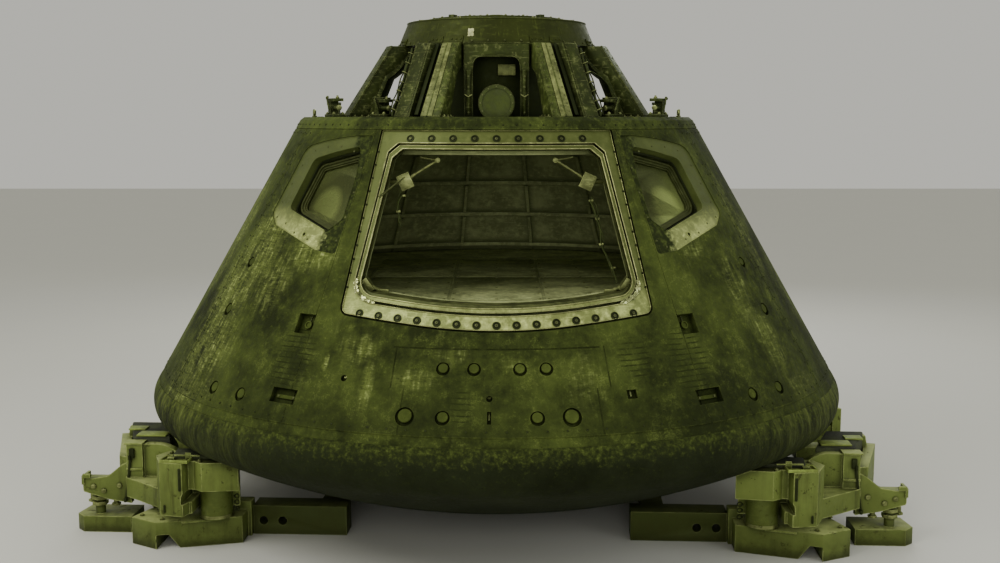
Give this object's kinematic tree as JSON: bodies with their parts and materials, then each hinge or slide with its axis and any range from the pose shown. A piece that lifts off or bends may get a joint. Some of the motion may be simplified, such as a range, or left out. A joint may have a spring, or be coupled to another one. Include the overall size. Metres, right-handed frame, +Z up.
{
  "type": "space capsule on a recovery cradle",
  "caption": "Blunt cone crew capsule with an open side hatch, side windows and a bare forward bay, seated by its shoulder on a low steel recovery cradle.",
  "frame": {"origin": "on the floor under the capsule's axis, at the middle of the cradle", "axes": "+Z up along the capsule's axis; the side hatch faces -Y; +X to the right seen from the hatch side"},
  "size_m": [5.7688, 4.9998, 3.572],
  "materials": {
    "bay_metal": "dull",
    "canister": "dull",
    "cabin_floor": "dull",
    "cabin_lining": "dull",
    "cradle_paint": "chipped gloss paint",
    "rubber_pad": "matte",
    "cradle_roller": "worn",
    "bare_metal": "worn",
    "forward_deck": "dull",
    "gusset_light": "worn",
    "gusset_dark": "worn",
    "hatch_frame": "worn bare metal",
    "scorched_skin": "scorched and streaked",
    "reveal_metal": "dull",
    "ablator": "charred, rough",
    "rim_band": "scorched",
    "shoulder_band": "charred, rough",
    "top_ring": "dull, scorched",
    "tunnel_hatch": "dull",
    "window_frame": "dark",
    "window_glass": "dusty",
    "window_surround": "worn"
  },
  "bodies": {
    "capsule": {"bay_arch": "bay_metal", "bay_canister": "canister", "cabin_floor": "cabin_floor", "cabin_roof": "cabin_lining", "cabin_wall": "cabin_lining", "cradle_beams": "cradle_paint", "cradle_feet": "cradle_paint", "cradle_pads": "rubber_pad", "cradle_rails": "cradle_paint", "cradle_rollers": "cradle_roller", "cradle_shoes": "cradle_paint", "cradle_tie": "cradle_paint", "cradle_yoke_front_left": "cradle_paint", "cradle_yoke_front_right": "cradle_paint", "cradle_yoke_rear_left": "cradle_paint", "cradle_yoke_rear_right": "cradle_paint", "deck_fittings": "bare_metal", "docking_latches": "bare_metal", "docking_ring": "bare_metal", "forward_deck": "forward_deck", "gusset_front": "gusset_light", "gusset_quarter": "gusset_dark", "gusset_rear": "gusset_dark", "gusset_rear_side": "gusset_dark", "gusset_side": "gusset_dark", "hatch_arm_left": "bare_metal", "hatch_arm_right": "bare_metal", "hatch_frame": "hatch_frame", "hatch_latch_left": "bare_metal", "hatch_latch_right": "bare_metal", "hatch_panel": "scorched_skin", "hatch_reveal": "reveal_metal", "hatch_seal_lip": "bare_metal", "heat_shield": "ablator", "rear_panel_left": "scorched_skin", "rear_panel_right": "scorched_skin", "rim_band": "rim_band", "shoulder_band": "shoulder_band", "side_panel_left": "scorched_skin", "side_panel_right": "scorched_skin", "top_ring": "top_ring", "tunnel_hatch_hinge": "bare_metal", "tunnel_wall": "bay_metal", "window_frame_left": "window_frame", "window_frame_right": "window_frame", "window_pane_left": "window_glass", "window_pane_right": "window_glass", "window_panel_left": "scorched_skin", "window_panel_right": "scorched_skin", "window_surround_left": "window_surround", "window_surround_right": "window_surround"},
    "tunnel_hatch": {"tunnel_hatch": "tunnel_hatch"}
  },
  "joints": [
    {"name": "tunnel_hatch_swing", "type": "hinge", "parent": "capsule", "child": "tunnel_hatch", "pos_m": [0, 0.56, 3.544], "axis": [-1, 0, 0], "range_deg": [0, 100]}
  ]
}
